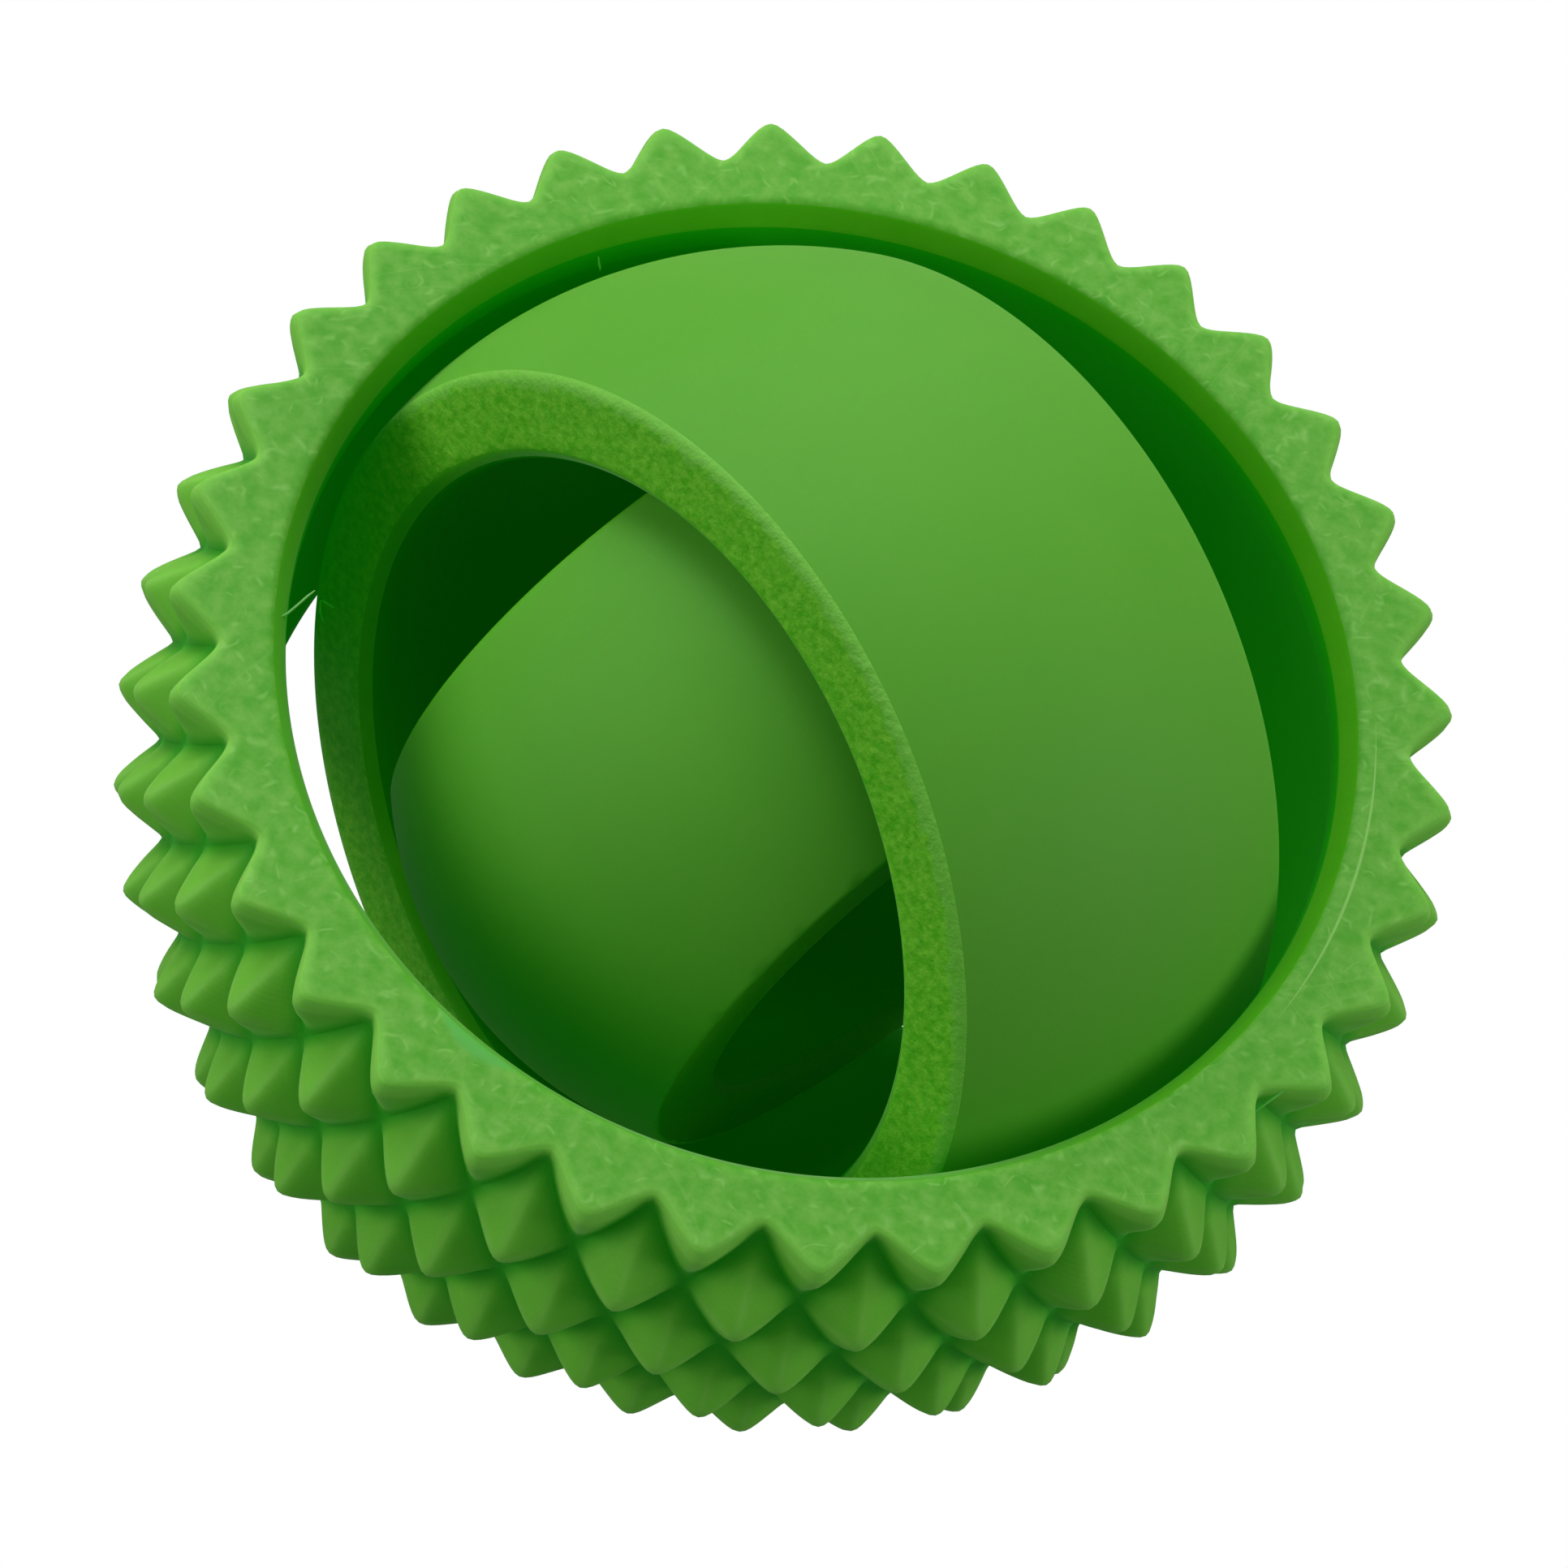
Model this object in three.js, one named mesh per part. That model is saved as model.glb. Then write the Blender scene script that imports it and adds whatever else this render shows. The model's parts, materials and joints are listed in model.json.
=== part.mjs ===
// A captive three-ring fidget toy: three loose, concentric rings that turn freely inside one another.
// The outer ring carries rows of pyramid spikes. The middle and inner rings are smooth spherical bands.
// Each bore is hollowed to a spherical pocket behind a narrow lip, and the lip holds the next ring in.
// Millimetres, +Z along the outer ring's axis, origin at the common centre of all three rings.

import * as THREE from "three";

// --- shared sizes -------------------------------------------------------------------------------
const HALF_HEIGHT = 8.05;
const ARC_STEPS = 7;

// --- outer ring: spikes -------------------------------------------------------------------------
const TIP_RADIUS = 25.0;
const LOWEST_TIP_RADIUS = 24.5;
const VALLEY_RADIUS = 23.1;
const SPIKES_PER_ROW = 35;
const ROW_SPACING = 3.725;
const ROWS_EACH_SIDE = 2;

// --- bores: flat face edge, chamfer, straight lip, then the spherical pocket ---------------------
const OUTER_BORE = { faceRadius: 20.05, lipRadius: 19.42, chamferZ: 7.0, lipZ: 6.1 };
const MIDDLE_BORE = { faceRadius: 15.1, lipRadius: 14.56, chamferZ: 7.45, lipZ: 6.2 };
const INNER_BORE = { faceRadius: 9.65, lipRadius: 9.2, chamferZ: 7.45, lipZ: 6.1 };

// --- smooth bands -------------------------------------------------------------------------------
const MIDDLE_RADIUS = 19.65;
const INNER_RADIUS = 14.72;
const EDGE_BREAK = 0.35;
const MIDDLE_SEGMENTS = 60;
const INNER_SEGMENTS = 52;

// --- how the loose rings lie: each is tipped about a line through the centre ----------------------
const MIDDLE_TILT = THREE.MathUtils.degToRad(76.6);
const MIDDLE_TILT_AZIMUTH = THREE.MathUtils.degToRad(323.6);
const INNER_TILT = THREE.MathUtils.degToRad(86.0);
const INNER_TILT_AZIMUTH = THREE.MathUtils.degToRad(233.5);
const INNER_REST = new THREE.Vector3(-0.03, 0.27, 0.16);

const PLASTIC = { color: 0x59a53a, roughness: 0.55, metalness: 0.0 };

// A profile point: distance from the axis, and height along it.
function point(radius, z) {
  return new THREE.Vector2(radius, z);
}

// The bore's half of a ring profile, from the top face down to the bottom face.
function boreProfile(bore) {
  const pocketRadius = Math.hypot(bore.lipRadius, bore.lipZ);
  const reach = Math.asin(bore.lipZ / pocketRadius);
  const points = [point(bore.faceRadius, HALF_HEIGHT), point(bore.lipRadius, bore.chamferZ)];
  for (let i = 0; i <= ARC_STEPS; i++) {
    const angle = reach * (1 - (2 * i) / ARC_STEPS);
    points.push(point(pocketRadius * Math.cos(angle), pocketRadius * Math.sin(angle)));
  }
  points.push(point(bore.lipRadius, -bore.chamferZ), point(bore.faceRadius, -HALF_HEIGHT));
  return points;
}

// The outside half of a smooth band, from the bottom face up to the top face, with its edges broken.
function bandProfile(radius) {
  const edgeZ = HALF_HEIGHT - EDGE_BREAK;
  const edgeRadius = Math.sqrt(radius ** 2 - edgeZ ** 2);
  const faceRadius = Math.sqrt(radius ** 2 - HALF_HEIGHT ** 2) - EDGE_BREAK / 2;
  const reach = Math.asin(edgeZ / radius);
  const points = [point(faceRadius, -HALF_HEIGHT), point(edgeRadius, -edgeZ)];
  for (let i = 1; i < ARC_STEPS; i++) {
    const angle = reach * ((2 * i) / ARC_STEPS - 1);
    points.push(point(radius * Math.cos(angle), radius * Math.sin(angle)));
  }
  points.push(point(edgeRadius, edgeZ), point(faceRadius, HALF_HEIGHT));
  return points;
}

// A closed profile turned about +Z.
function turned(profile, segments) {
  const closed = [...profile, profile[0].clone()];
  return new THREE.LatheGeometry(closed, segments).rotateX(Math.PI / 2);
}

// Distance from the axis to a point of the spiked skin at height z, on a ball of the given radius.
function ballRadius(ball, z) {
  return Math.sqrt(ball ** 2 - z ** 2);
}

// Heights of the knurl lines: the spike rows, and the two flat faces that cut the outermost spikes.
function knurlHeights() {
  const heights = [-HALF_HEIGHT];
  for (let row = -ROWS_EACH_SIDE; row <= ROWS_EACH_SIDE; row++) {
    heights.push(row * ROW_SPACING);
  }
  heights.push(HALF_HEIGHT);
  return heights;
}

// Skin radius on a knurl line. Spike tips stand where column and row add up to an even number, valley
// corners where the sum is odd. A face line lies part of the way towards the next, missing row. The
// lowest row's tips are a little shorter, as tips that print over nothing come out blunt.
function knurlRadius(column, row, z) {
  const tipHere = (column + row) % 2 === 0;
  const tip = row <= -ROWS_EACH_SIDE ? LOWEST_TIP_RADIUS : TIP_RADIUS;
  const here = ballRadius(tipHere ? tip : VALLEY_RADIUS, z);
  if (Math.abs(row) <= ROWS_EACH_SIDE) {
    return here;
  }
  const innerZ = ROWS_EACH_SIDE * ROW_SPACING;
  const outerZ = innerZ + ROW_SPACING;
  const inner = ballRadius(tipHere ? VALLEY_RADIUS : tip, innerZ);
  const outer = ballRadius(tipHere ? tip : VALLEY_RADIUS, outerZ);
  return THREE.MathUtils.lerp(inner, outer, (HALF_HEIGHT - innerZ) / ROW_SPACING);
}

// The spiked ring: a lathe with two columns per spike, whose outside vertices are moved out to the
// spike tips and in to the valleys, and whose outside squares are split along the valley lines.
function spikedRing() {
  const heights = knurlHeights();
  const skin = heights.map((z) => point(TIP_RADIUS, z));
  const profile = [...skin, ...boreProfile(OUTER_BORE)];
  const columns = 2 * SPIKES_PER_ROW;
  const geometry = turned(profile, columns);
  const stride = profile.length + 1;
  const position = geometry.getAttribute("position");
  const firstRow = -ROWS_EACH_SIDE - 1;
  for (let column = 0; column <= columns; column++) {
    const angle = (column % columns) * (Math.PI / SPIKES_PER_ROW);
    heights.forEach((z, j) => {
      const radius = knurlRadius(column % columns, firstRow + j, z);
      position.setXYZ(column * stride + j, radius * Math.cos(angle), radius * Math.sin(angle), z);
    });
    for (let j = heights.length; j < profile.length; j++) {
      const { x, y } = profile[j];
      position.setXYZ(column * stride + j, x * Math.cos(angle), x * Math.sin(angle), y);
    }
    position.setXYZ(
      column * stride + profile.length,
      position.getX(column * stride),
      position.getY(column * stride),
      position.getZ(column * stride),
    );
  }
  geometry.setIndex(knurlIndex(columns, stride, heights.length, firstRow));
  return geometry;
}

// Triangles of the spiked ring, counter-clockwise seen from outside.
function knurlIndex(columns, stride, skinLines, firstRow) {
  const index = [];
  for (let column = 0; column < columns; column++) {
    for (let j = 0; j < stride - 1; j++) {
      const low = column * stride + j;
      const next = low + stride;
      const valleyLow = (column + firstRow + j) % 2 !== 0;
      if (j < skinLines - 1 && valleyLow) {
        index.push(low, next, next + 1, low, next + 1, low + 1);
      } else {
        index.push(low, next, low + 1, next, next + 1, low + 1);
      }
    }
  }
  return index;
}

function namedMesh(name, geometry) {
  const mesh = new THREE.Mesh(geometry, new THREE.MeshStandardMaterial(PLASTIC));
  mesh.name = name;
  return mesh;
}

// A group tipped by an angle about a horizontal line through the centre.
function tipped(angle, azimuth) {
  const group = new THREE.Group();
  const axis = new THREE.Vector3(Math.cos(azimuth), Math.sin(azimuth), 0);
  group.setRotationFromAxisAngle(axis, angle);
  return group;
}

const outerRing = namedMesh("outer_ring", spikedRing());

const middleProfile = [...bandProfile(MIDDLE_RADIUS), ...boreProfile(MIDDLE_BORE)];
const middleRing = namedMesh("middle_ring", turned(middleProfile, MIDDLE_SEGMENTS));
const middlePose = tipped(MIDDLE_TILT, MIDDLE_TILT_AZIMUTH);
middlePose.add(middleRing);

const innerProfile = [...bandProfile(INNER_RADIUS), ...boreProfile(INNER_BORE)];
const innerRing = namedMesh("inner_ring", turned(innerProfile, INNER_SEGMENTS));
const innerPose = tipped(INNER_TILT, INNER_TILT_AZIMUTH);
innerPose.add(innerRing);
innerPose.position.copy(INNER_REST).applyQuaternion(middlePose.quaternion.clone().invert());
middlePose.add(innerPose);

const toy = new THREE.Group();
toy.name = "ring_toy";
toy.add(outerRing, middlePose);

export default toy;
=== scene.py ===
# %% [markdown]
# # Three captive rings in printed green plastic
# The toy is three loose rings, one inside the other. The outer ring is covered in pyramid spikes, and
# the two inside it are smooth bands cut from a ball, so they tumble in any direction without falling
# out. This lesson loads the measured rings as a frame, then makes each one again as a fine surface
# with rounded ridges, scuffed flats and grain. The frame could be smoothed with modifiers instead, but
# a fresh mesh keeps the spikes' valleys crisp while it rounds their ridges.

# %% Load the frame
import json
import math
import bmesh
import bpy
import numpy as np
from mathutils import Matrix, Vector, noise


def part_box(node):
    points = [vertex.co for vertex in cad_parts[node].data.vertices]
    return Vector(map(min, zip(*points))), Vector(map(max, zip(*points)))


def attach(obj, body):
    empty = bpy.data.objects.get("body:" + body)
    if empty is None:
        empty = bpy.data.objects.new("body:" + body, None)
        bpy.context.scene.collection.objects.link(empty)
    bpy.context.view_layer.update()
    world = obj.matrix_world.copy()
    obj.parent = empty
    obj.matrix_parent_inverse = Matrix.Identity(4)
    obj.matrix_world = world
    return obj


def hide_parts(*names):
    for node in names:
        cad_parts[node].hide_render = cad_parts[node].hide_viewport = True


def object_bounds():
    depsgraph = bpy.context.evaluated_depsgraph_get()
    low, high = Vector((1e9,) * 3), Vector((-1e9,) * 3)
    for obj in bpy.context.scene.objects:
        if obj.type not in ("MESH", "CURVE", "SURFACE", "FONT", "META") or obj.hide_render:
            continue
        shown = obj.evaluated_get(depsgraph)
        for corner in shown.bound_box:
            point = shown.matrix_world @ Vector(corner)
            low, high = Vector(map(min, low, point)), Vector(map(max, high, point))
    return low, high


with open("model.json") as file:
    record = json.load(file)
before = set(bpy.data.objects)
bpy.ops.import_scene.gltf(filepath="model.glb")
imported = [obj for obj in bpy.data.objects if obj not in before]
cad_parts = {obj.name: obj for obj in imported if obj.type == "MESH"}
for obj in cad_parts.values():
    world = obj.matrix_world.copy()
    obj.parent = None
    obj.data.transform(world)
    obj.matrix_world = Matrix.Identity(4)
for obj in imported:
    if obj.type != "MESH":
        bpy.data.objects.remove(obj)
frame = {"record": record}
cad_low, cad_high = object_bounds()
MM = 0.001
print("frame box", [round(v, 4) for v in (*cad_low, *cad_high)])

# %% [markdown]
# ## Sizes
# The outer ring's box gives the spike tips' radius and half its height, and all three rings are
# equally tall. Reading these from the frame, and not typing them, keeps both models the same size. The
# other radii are the design's own. The two balls are a few hundredths smaller than designed, to stay
# inside the frame's faceted box. Each bore has a narrow straight lip with a chamfer, and behind it a
# pocket that is part of a ball around the common centre.

# %% Ring sizes in millimetres
outer_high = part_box("outer_ring")[1]
TIP = round(outer_high.x / MM, 2)
HALF = round(outer_high.z / MM, 3)
VALLEY = 23.1
SPIKES, ROW = 35, 3.725
MIDDLE, INNER = 19.62, 14.70
BORES = {
    "outer": dict(face=20.05, lip=19.42, chamfer=7.0, lip_z=6.1),
    "middle": dict(face=15.1, lip=14.56, chamfer=7.45, lip_z=6.2),
    "inner": dict(face=9.65, lip=9.2, chamfer=7.45, lip_z=6.1),
}
print("tip radius", TIP, "half height", HALF)

# %% [markdown]
# ## How the loose rings lie
# Each loose ring is tipped about a line through the centre, and that line is its joint's axis, so it
# is read from the frame. A ring could be modelled in its tipped place, but it is simpler to model it
# standing on its own axis and let this turn put it in place. The inner ring is loose enough to rest a
# third of a millimetre off the common centre, and its joint sits at its own centre.

# %% Poses of the loose rings
MIDDLE_TIP, INNER_TIP = 76.6, 86.0
joint = {j["name"]: j for j in frame["record"]["behaviour"]["joints"]}


def tip_about(name, degrees):
    """A turn about the axis of a named joint."""
    axis = Vector(joint[name]["axis"]).normalized()
    return Matrix.Rotation(math.radians(degrees), 4, axis)


middle_pose = tip_about("middle_tilt", MIDDLE_TIP)
inner_turn = tip_about("inner_tilt", INNER_TIP) @ middle_pose
inner_pose = Matrix.Translation(joint["inner_tilt"]["pos_m"]) @ inner_turn
print("middle axis", [round(v, 3) for v in middle_pose.col[2][:3]])
print("inner axis", [round(v, 3) for v in inner_pose.col[2][:3]])

# %% [markdown]
# ## Camera
# The toy is seen from above its front edge, and the camera is rolled a little, so the ring leans to the
# left. A tracking constraint could aim the camera, but three vectors say the same with nothing hidden:
# back from the centre to the camera, right, and up. The lens is long and stands about a quarter of a
# metre away, so the near spikes are hardly larger than the far ones.

# %% Camera
DISTANCE = 248.975 * MM
SHIFT_RIGHT, SHIFT_DOWN = 0.05 * MM, 0.375 * MM
LENS, SENSOR = 153.5, 36
AZIMUTH, ELEVATION, ROLL = math.radians(-91.32), math.radians(60.70), math.radians(-22.38)

back = Vector((math.cos(AZIMUTH) * math.cos(ELEVATION), math.sin(AZIMUTH) * math.cos(ELEVATION),
               math.sin(ELEVATION)))
level_right = Vector((-math.sin(AZIMUTH), math.cos(AZIMUTH), 0))
level_up = back.cross(level_right)
right = math.cos(ROLL) * level_right - math.sin(ROLL) * level_up
up = math.sin(ROLL) * level_right + math.cos(ROLL) * level_up

camera = bpy.data.objects.new("camera", bpy.data.cameras.new("camera"))
camera.data.lens, camera.data.sensor_width = LENS, SENSOR
camera.data.clip_start, camera.data.clip_end = 0.01, 10
eye = DISTANCE * back + SHIFT_RIGHT * right - SHIFT_DOWN * up
camera.matrix_world = Matrix.Translation(eye) @ Matrix((right, up, back)).transposed().to_4x4()
bpy.context.scene.collection.objects.link(camera)
bpy.context.scene.camera = camera
print("camera at", [round(v, 4) for v in eye])

# %% [markdown]
# ## Profiles
# Every ring is a closed outline turned about an axis. The outline runs up the outside, in over the top
# face, down the bore and out under the bottom face. Corners are softened with a short curve, because
# melted plastic never prints a knife edge. A bevel modifier could do that too, but here the curve is
# part of the outline, so each row of the mesh is known and can be given its own finish.

# %% Profile helpers
CORNER = 0.25
FACE_STEPS, LIP_STEPS, POCKET_STEPS = 4, 3, 22


def soft_corner(before, corner, after, size, steps, size_after=None):
    """A short curve in place of a corner, from size before it to size_after past it."""
    a, c, b = Vector(before), Vector(corner), Vector(after)
    start = c + (a - c).normalized() * size
    end = c + (b - c).normalized() * (size_after or size)
    points = []
    for k in range(steps + 1):
        t = k / steps
        points.append(tuple((1 - t) ** 2 * start + 2 * t * (1 - t) * c + t ** 2 * end))
    return points


def ball_arc(radius, z_from, z_to, steps):
    """Points on a ball's outline between two heights, both ends included."""
    a, b = math.asin(z_from / radius), math.asin(z_to / radius)
    angles = [a + (b - a) * k / steps for k in range(steps + 1)]
    return [(radius * math.cos(t), radius * math.sin(t)) for t in angles]


def bore_outline(size):
    """The bore from the top face's inner edge down to the bottom face's: chamfer, lip, pocket."""
    face, lip, low, lip_z = size["face"], size["lip"], size["chamfer"], size["lip_z"]
    pocket = math.hypot(lip, lip_z)
    outwards = (face + 1, HALF)
    top = soft_corner(outwards, (face, HALF), (lip, low), CORNER, FACE_STEPS)
    top += soft_corner((face, HALF), (lip, low), (lip, lip_z), CORNER, LIP_STEPS)
    bottom = [(r, -z) for r, z in reversed(top)]
    return top + ball_arc(pocket, lip_z, -lip_z, POCKET_STEPS) + bottom


print("outer bore has", len(bore_outline(BORES["outer"])), "outline points")

# %% [markdown]
# ## A mesh from rows of points
# The surface of each ring is a grid: rows run round the ring, and columns run along the outline. A
# screw modifier could turn a plain outline too, but the spikes change from column to column, so the
# points are worked out here. One helper turns the grid into a mesh, gives each strip of faces its
# material slot and marks sharp corners.

# %% Grid to mesh
SHARP = math.radians(40)


def ring_object(name, radius, height, slots, materials, diagonal=None):
    """A closed ring from (rows, columns) arrays in millimetres, with one slot for each row.

    diagonal(column, row) says which way a square is split in two. None leaves it whole.
    """
    rows, columns = radius.shape
    angle = np.arange(columns) * 2 * np.pi / columns
    points = np.stack([radius * np.cos(angle), radius * np.sin(angle), height], axis=2) * MM
    faces, face_slots = [], []
    for j in range(rows):
        up_row = (j + 1) % rows
        for i in range(columns):
            side = (i + 1) % columns
            a, b = j * columns + i, j * columns + side
            c, d = up_row * columns + side, up_row * columns + i
            way = diagonal(i, j) if diagonal else None
            if way is None:
                faces.append((a, b, c, d))
            elif way:
                faces += [(a, b, c), (a, c, d)]
            else:
                faces += [(a, b, d), (b, c, d)]
            face_slots += [slots[j]] * (1 if way is None else 2)
    mesh = bpy.data.meshes.new(name)
    mesh.from_pydata(points.reshape(-1, 3).tolist(), [], faces)
    for material in materials:
        mesh.materials.append(material)
    mesh.polygons.foreach_set("material_index", face_slots)
    mesh.polygons.foreach_set("use_smooth", [True] * len(faces))
    mesh.update()
    mesh.set_sharp_from_angle(angle=SHARP)
    obj = bpy.data.objects.new(name, mesh)
    bpy.context.scene.collection.objects.link(obj)
    print(name, len(mesh.vertices), "points", len(faces), "faces")
    return obj


def point_values(obj, name, values):
    """Stores one number per point, for a material to read."""
    layer = obj.data.attributes.new(name, "FLOAT", "POINT")
    layer.data.foreach_set("value", np.asarray(values, dtype=np.float32).ravel())


print("corners sharper than", round(math.degrees(SHARP)), "degrees stay crisp")

# %% [markdown]
# ## Shared surface effects
# All three rings come from one spool, so they share their effects: cloudy tone, grain, scuffs, rim
# marks and layer lines. Painted textures could hold them, but noise worked out in space never shows a
# seam and has no size limit. Each effect is a node group, built once and placed in each material with
# its own values. These two helpers make a group with named sockets and a node with its inputs.

# %% Node helpers
def new_group(name, inputs, outputs):
    """A node group, with the nodes that hold its inputs and its outputs."""
    group = bpy.data.node_groups.new(name, "ShaderNodeTree")
    for title, kind, value in inputs:
        socket = group.interface.new_socket(title, in_out="INPUT", socket_type=kind)
        socket.default_value = value
    for title, kind in outputs:
        group.interface.new_socket(title, in_out="OUTPUT", socket_type=kind)
    return group, group.nodes.new("NodeGroupInput"), group.nodes.new("NodeGroupOutput")


def add(tree, kind, links=None, **settings):
    """A node, its settings, and what feeds it: socket name or number to a socket or a value."""
    node = tree.nodes.new(kind)
    for key, value in settings.items():
        setattr(node, key, value)
    for key, value in (links or {}).items():
        if isinstance(value, bpy.types.NodeSocket):
            tree.links.new(value, node.inputs[key])
        else:
            node.inputs[key].default_value = value
    return node


FLOAT, COLOR, VECTOR = "NodeSocketFloat", "NodeSocketColor", "NodeSocketVector"
print("socket kinds", FLOAT, COLOR, VECTOR)

# %% [markdown]
# ## Cloudy tone
# The plastic is slightly translucent, and it is never quite the same green twice: a paler bloom drifts
# through it. One noise, cut to a soft band, mixes a plain and a cloudy colour. The same group makes the
# broad drift of the bands and, at a small scale, the salt-and-pepper tone of a rubbed or rough face.

# %% Tone group
tone, tone_in, tone_out = new_group(
    "plastic tone",
    [("Place", VECTOR, (0, 0, 0)), ("Plain", COLOR, (1, 1, 1, 1)), ("Cloudy", COLOR, (1, 1, 1, 1)),
     ("Scale", FLOAT, 300.0), ("Amount", FLOAT, 0.5)],
    [("Color", COLOR)])
cloud = add(tone, "ShaderNodeTexNoise", {"Vector": tone_in.outputs["Place"],
            "Scale": tone_in.outputs["Scale"], "Detail": 4.0, "Roughness": 0.55})
cloud_band = add(tone, "ShaderNodeMapRange", {"Value": cloud.outputs["Fac"], "From Min": 0.35,
                 "From Max": 0.7, "To Min": 0.0, "To Max": tone_in.outputs["Amount"]})
cloud_mix = add(tone, "ShaderNodeMix", {0: cloud_band.outputs["Result"], 6: tone_in.outputs["Plain"],
                7: tone_in.outputs["Cloudy"]}, data_type="RGBA")
tone.links.new(cloud_mix.outputs[2], tone_out.inputs["Color"])
print("group", tone.name)

# %% [markdown]
# ## Fine grain
# A printed surface is matt because it is covered in tiny bumps. Modelling them would take millions of
# points, so they are a height that feeds a Bump node. A fine noise and one about four times coarser are
# mixed, and each material chooses the share of the coarse one.

# %% Grain group
COARSER = 0.22
grain, grain_in, grain_out = new_group(
    "fine grain",
    [("Place", VECTOR, (0, 0, 0)), ("Scale", FLOAT, 3000.0), ("Coarse", FLOAT, 0.5)],
    [("Height", FLOAT)])
fine = add(grain, "ShaderNodeTexNoise", {"Vector": grain_in.outputs["Place"],
           "Scale": grain_in.outputs["Scale"], "Detail": 3.0, "Roughness": 0.6})
coarse_scale = add(grain, "ShaderNodeMath", {0: grain_in.outputs["Scale"], 1: COARSER},
                   operation="MULTIPLY")
coarse = add(grain, "ShaderNodeTexNoise", {"Vector": grain_in.outputs["Place"],
             "Scale": coarse_scale.outputs[0], "Detail": 2.0})
both = add(grain, "ShaderNodeMix", {0: grain_in.outputs["Coarse"], 2: fine.outputs["Fac"],
           3: coarse.outputs["Fac"]}, data_type="FLOAT")
grain.links.new(both.outputs[0], grain_out.inputs["Height"])
print("group", grain.name)

# %% [markdown]
# ## Scuffs
# The flats were rubbed in use. They carry hair-thin straight scratches in a few directions and short
# curled strokes, all paler than the plastic. A noise is a soft landscape, and the line along which it
# passes through its middle value is a thin curve, so no stroke has to be drawn by hand. Stretching the
# noise makes the curves straight, and a second noise lets them show only in islands, which cuts them
# into short strokes.

# %% Small helpers for masks
def mapped(tree, value, low, high):
    """The value read as a share of the way from low to high, kept between 0 and 1."""
    ends = {"Value": value, "From Min": low, "From Max": high}
    return add(tree, "ShaderNodeMapRange", ends).outputs[0]


def maths(tree, kind, a, b=0.0):
    """One sum worked out by a node."""
    return add(tree, "ShaderNodeMath", {0: a, 1: b}, operation=kind).outputs[0]


def contour(tree, place, scale, width, bend=0.3):
    """Thin curved lines along which a noise passes through its middle value."""
    hills = add(tree, "ShaderNodeTexNoise", {"Vector": place, "Scale": scale, "Detail": 0.0,
                "Distortion": bend}).outputs["Fac"]
    return mapped(tree, maths(tree, "ABSOLUTE", maths(tree, "SUBTRACT", hills, 0.5)), width, 0.0)


def patches(tree, place, scale, low, high):
    """Islands of a noise, to let a pattern show only here and there."""
    island = add(tree, "ShaderNodeTexNoise", {"Vector": place, "Scale": scale, "Detail": 0.0})
    return mapped(tree, island.outputs["Fac"], low, high)


print("mask helpers ready")

# %% Scuff group
SCRATCH_STRETCH = (110, 700, 110)
SCRATCH_TURNS = ((0.6, 0.0), (1.75, 0.31), (2.6, 0.77))
STROKE_SIZES = ((520.0, 0.13), (760.0, 0.52), (1100.0, 0.86))
STROKE_ISLANDS = 1500.0

scuff, scuff_in, scuff_out = new_group(
    "scuffs",
    [("Place", VECTOR, (0, 0, 0)), ("Scratches", FLOAT, 0.5), ("Strokes", FLOAT, 0.5)],
    [("Mask", FLOAT)])
scuff_place = scuff_in.outputs["Place"]
scuff_mask = 0.0
for turn, shift in SCRATCH_TURNS:
    turned_place = add(scuff, "ShaderNodeVectorRotate", {"Vector": scuff_place, "Axis": (0, 0, 1),
                       "Angle": turn}, rotation_type="AXIS_ANGLE").outputs[0]
    drawn = add(scuff, "ShaderNodeMapping", {"Vector": turned_place, "Location": (shift, shift, 0),
                "Scale": SCRATCH_STRETCH}).outputs[0]
    line = maths(scuff, "MULTIPLY", contour(scuff, drawn, 1.0, 0.02),
                 patches(scuff, drawn, 0.6, 0.58, 0.68))
    line = maths(scuff, "MULTIPLY", line, scuff_in.outputs["Scratches"])
    scuff_mask = maths(scuff, "MAXIMUM", line, scuff_mask)
for size, shift in STROKE_SIZES:
    drawn = add(scuff, "ShaderNodeMapping", {"Vector": scuff_place,
                "Location": (shift, shift, 0)}).outputs[0]
    stroke = maths(scuff, "MULTIPLY", contour(scuff, drawn, size, 0.05, 0.2),
                   patches(scuff, drawn, STROKE_ISLANDS, 0.58, 0.74))
    stroke = maths(scuff, "MULTIPLY", stroke, scuff_in.outputs["Strokes"])
    scuff_mask = maths(scuff, "MAXIMUM", stroke, scuff_mask)
scuff.links.new(scuff_mask, scuff_out.inputs["Mask"])
print("group", scuff.name)

# %% [markdown]
# ## Rim mark
# Two marks follow the rim of the bore: one long pale scratch, and one pale teal lens where the edge was
# pressed, its shine a painted glint. They could be thin pieces of their own, but they have no
# thickness. So a mark is a mask: the distance from a circle round the axis, narrowed along the circle,
# gives a lens shape at a chosen angle.

# %% Rim mark group
mark, mark_in, mark_out = new_group(
    "rim mark",
    [("Place", VECTOR, (0, 0, 0)), ("Angle", FLOAT, 0.0), ("Radius", FLOAT, 0.0205),
     ("Width", FLOAT, 0.0002), ("Length", FLOAT, 0.005)],
    [("Mask", FLOAT)])
spun = add(mark, "ShaderNodeVectorRotate", {"Vector": mark_in.outputs["Place"], "Axis": (0, 0, 1),
           "Angle": mark_in.outputs["Angle"]}, rotation_type="AXIS_ANGLE").outputs[0]
spun = add(mark, "ShaderNodeSeparateXYZ", {0: spun}).outputs
away = maths(mark, "SQRT", maths(mark, "ADD", maths(mark, "MULTIPLY", spun["X"], spun["X"]),
                                 maths(mark, "MULTIPLY", spun["Y"], spun["Y"])))
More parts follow.
